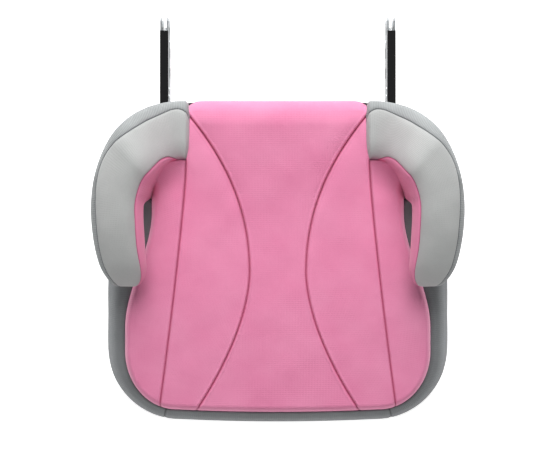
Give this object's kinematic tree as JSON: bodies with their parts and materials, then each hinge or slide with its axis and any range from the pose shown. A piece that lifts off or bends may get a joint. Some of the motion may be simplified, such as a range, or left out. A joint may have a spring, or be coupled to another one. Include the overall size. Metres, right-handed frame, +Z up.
{
  "type": "booster seat",
  "caption": "Backless child's car booster seat: padded pink and grey fabric cover on a moulded shell, hooked armrests with belt slots, and two sliding steel anchor arms.",
  "frame": {"origin": "middle of the overall footprint, arms out, on the surface that the seat stands on", "axes": "+X to the right seen from above with the front edge nearest, +Y towards the backrest, +Z up"},
  "size_m": [0.42, 0.498, 0.2049],
  "materials": {
    "foam": "cut open-cell foam",
    "pink_fabric": "soft knitted jersey over thin wadding",
    "light_grey_fabric": "soft knitted jersey",
    "dark_grey_fabric": "fine ribbed spacer mesh",
    "elastic": "woven elastic tape",
    "shell_plastic": "fine moulded grain",
    "pad_rubber": "matte",
    "arm_plastic": "satin moulded",
    "handle_plastic": "satin moulded",
    "arm_steel": "zinc plated and brushed",
    "spring_steel": "drawn wire",
    "zinc_steel": "zinc plated"
  },
  "bodies": {
    "seat": {"seat_shell": "shell_plastic", "base_plate": "shell_plastic", "shell_screws": "zinc_steel", "grip_pads": "pad_rubber", "seat_foam": "foam", "cover_center_panel": "pink_fabric", "cover_thigh_panel_left": "pink_fabric", "cover_thigh_panel_right": "pink_fabric", "cover_side_panel_left": "pink_fabric", "cover_side_panel_right": "pink_fabric", "cover_horn_cap_left": "light_grey_fabric", "cover_horn_cap_right": "light_grey_fabric", "cover_horn_inner_left": "pink_fabric", "cover_horn_inner_right": "pink_fabric", "cover_horn_outer_left": "dark_grey_fabric", "cover_horn_outer_right": "dark_grey_fabric", "cover_skirt_left": "dark_grey_fabric", "cover_skirt_right": "dark_grey_fabric", "cover_skirt_front": "dark_grey_fabric", "cover_skirt_back": "dark_grey_fabric", "hem_elastic": "elastic", "guide_rail_left": "zinc_steel", "guide_rail_right": "zinc_steel", "rail_rivets": "zinc_steel"},
    "arms": {"arm_plate_outer_left": "arm_steel", "arm_plate_outer_right": "arm_steel", "arm_plate_inner_left": "arm_steel", "arm_plate_inner_right": "arm_steel", "arm_cover_left": "arm_plastic", "arm_cover_right": "arm_plastic", "arm_spacers": "zinc_steel", "arm_rivets": "zinc_steel", "cross_tube": "zinc_steel", "hook_pins": "zinc_steel", "hook_springs": "spring_steel"},
    "hook_left": {"latch_hook_left": "arm_steel"},
    "hook_right": {"latch_hook_right": "arm_steel"},
    "release_left": {"release_rod_left": "zinc_steel", "release_tab_left": "handle_plastic"},
    "release_right": {"release_rod_right": "zinc_steel", "release_tab_right": "handle_plastic"},
    "adjuster": {"adjuster_handle": "handle_plastic", "pull_rod": "zinc_steel", "cam_plate": "zinc_steel"},
    "bolt_left": {"lock_bolt_left": "arm_steel"},
    "bolt_right": {"lock_bolt_right": "arm_steel"}
  },
  "joints": [
    {"name": "arms_slide", "type": "slide", "parent": "seat", "child": "arms", "axis": [0, 1, 0], "range_m": [-0.1, 0]},
    {"name": "release_left_slide", "type": "slide", "parent": "arms", "child": "release_left", "axis": [0, -1, 0], "range_m": [0, 0.00325]},
    {"name": "hook_left_turn", "type": "hinge", "parent": "arms", "child": "hook_left", "pos_m": [-0.14, 0.2215, 0.033], "axis": [-1, 0, 0], "range_deg": [0, 30], "stiffness_Nm_per_rad": 0.06},
    {"name": "release_right_slide", "type": "slide", "parent": "arms", "child": "release_right", "axis": [0, -1, 0], "range_m": [0, 0.00325]},
    {"name": "hook_right_turn", "type": "hinge", "parent": "arms", "child": "hook_right", "pos_m": [0.14, 0.2215, 0.033], "axis": [-1, 0, 0], "range_deg": [0, 30], "stiffness_Nm_per_rad": 0.06},
    {"name": "adjuster_slide", "type": "slide", "parent": "seat", "child": "adjuster", "axis": [0, 1, 0], "range_m": [0, 0.01]},
    {"name": "bolt_left_slide", "type": "slide", "parent": "seat", "child": "bolt_left", "axis": [-1, 0, 0], "range_m": [0, 0.008]},
    {"name": "bolt_right_slide", "type": "slide", "parent": "seat", "child": "bolt_right", "axis": [1, 0, 0], "range_m": [0, 0.008]}
  ],
  "couplings": [
    {"joint": "hook_left_turn", "follows": "release_left_slide", "rad_per_m": 161.09},
    {"joint": "hook_right_turn", "follows": "release_right_slide", "rad_per_m": 161.09},
    {"joint": "bolt_left_slide", "follows": "adjuster_slide", "ratio": 0.8},
    {"joint": "bolt_right_slide", "follows": "adjuster_slide", "ratio": 0.8}
  ]
}
